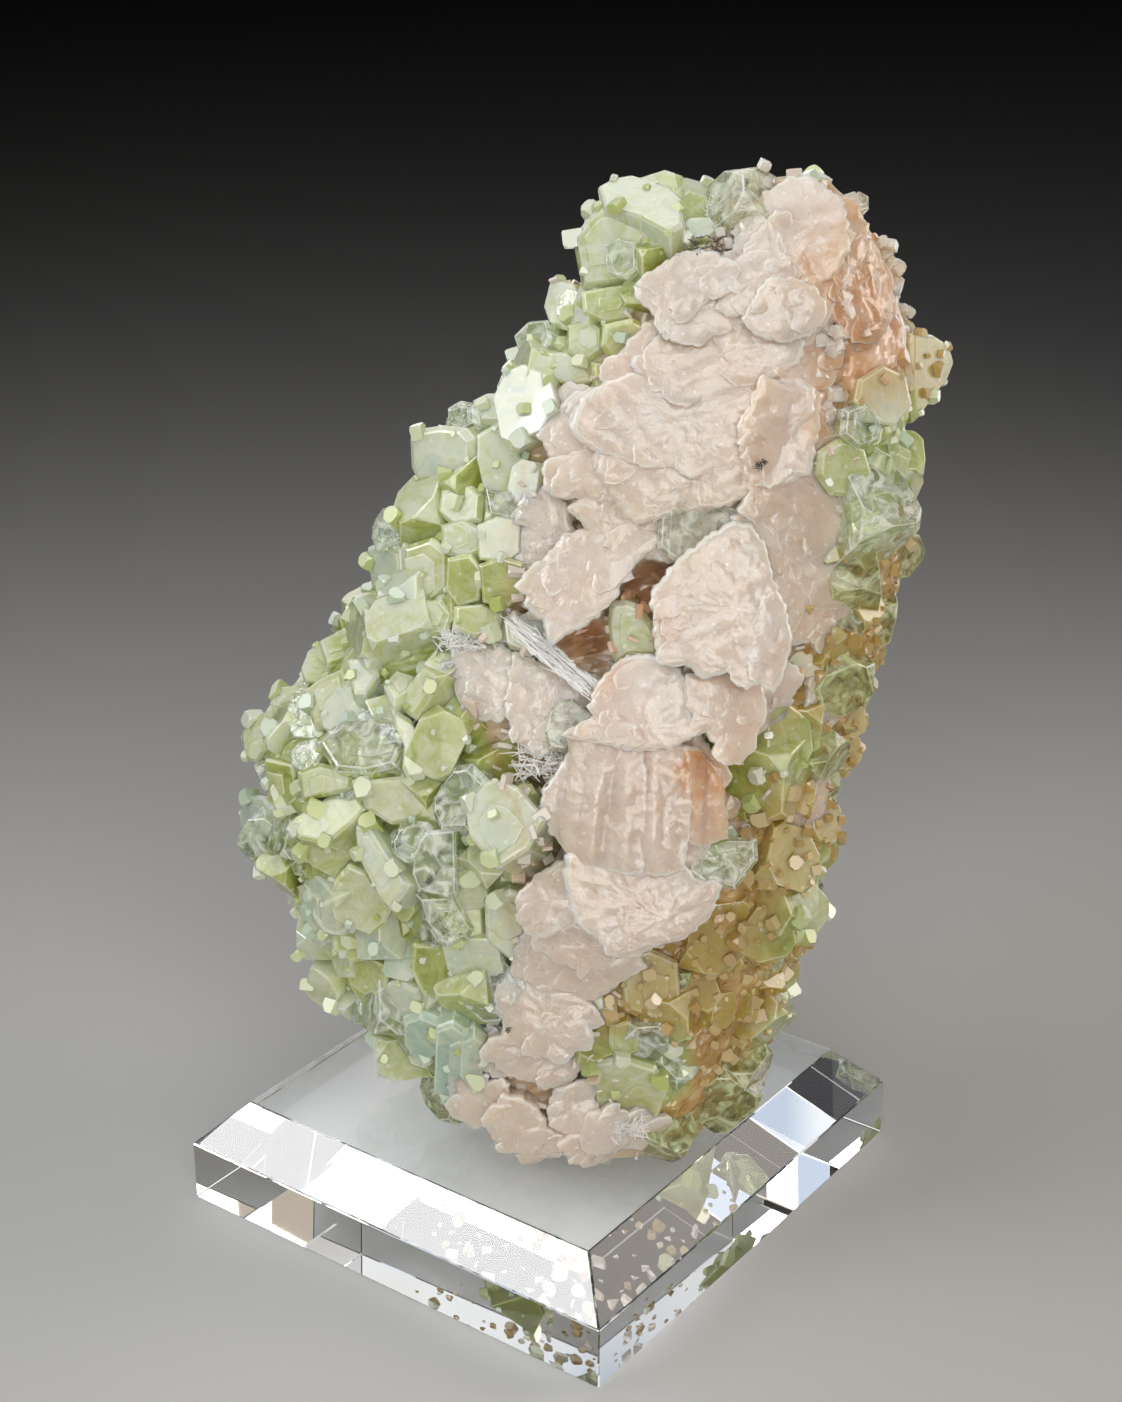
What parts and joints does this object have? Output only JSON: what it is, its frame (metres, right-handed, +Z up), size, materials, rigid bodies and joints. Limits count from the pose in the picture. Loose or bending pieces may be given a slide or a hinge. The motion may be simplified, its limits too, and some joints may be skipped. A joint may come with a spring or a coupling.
{
  "type": "apophyllite cluster on a display block",
  "caption": "Upright cluster of pale green apophyllite crystals and cream stilbite plates grown as one mass, fixed to a clear square display block with bevelled edges.",
  "frame": {"origin": "centre of the display block's underside", "axes": "+Z up, along the specimen's height; X and Y run along the block's sides, and the specimen's broad front looks between +X and -Y"},
  "size_m": [0.1064, 0.1063, 0.2011],
  "materials": {
    "mineral": "satin",
    "apophyllite": "gloss",
    "stilbite": "satin",
    "acrylic": "polished"
  },
  "bodies": {
    "root": {"apophyllite_cluster": "mineral", "acrylic_base": "acrylic"}
  },
  "joints": []
}
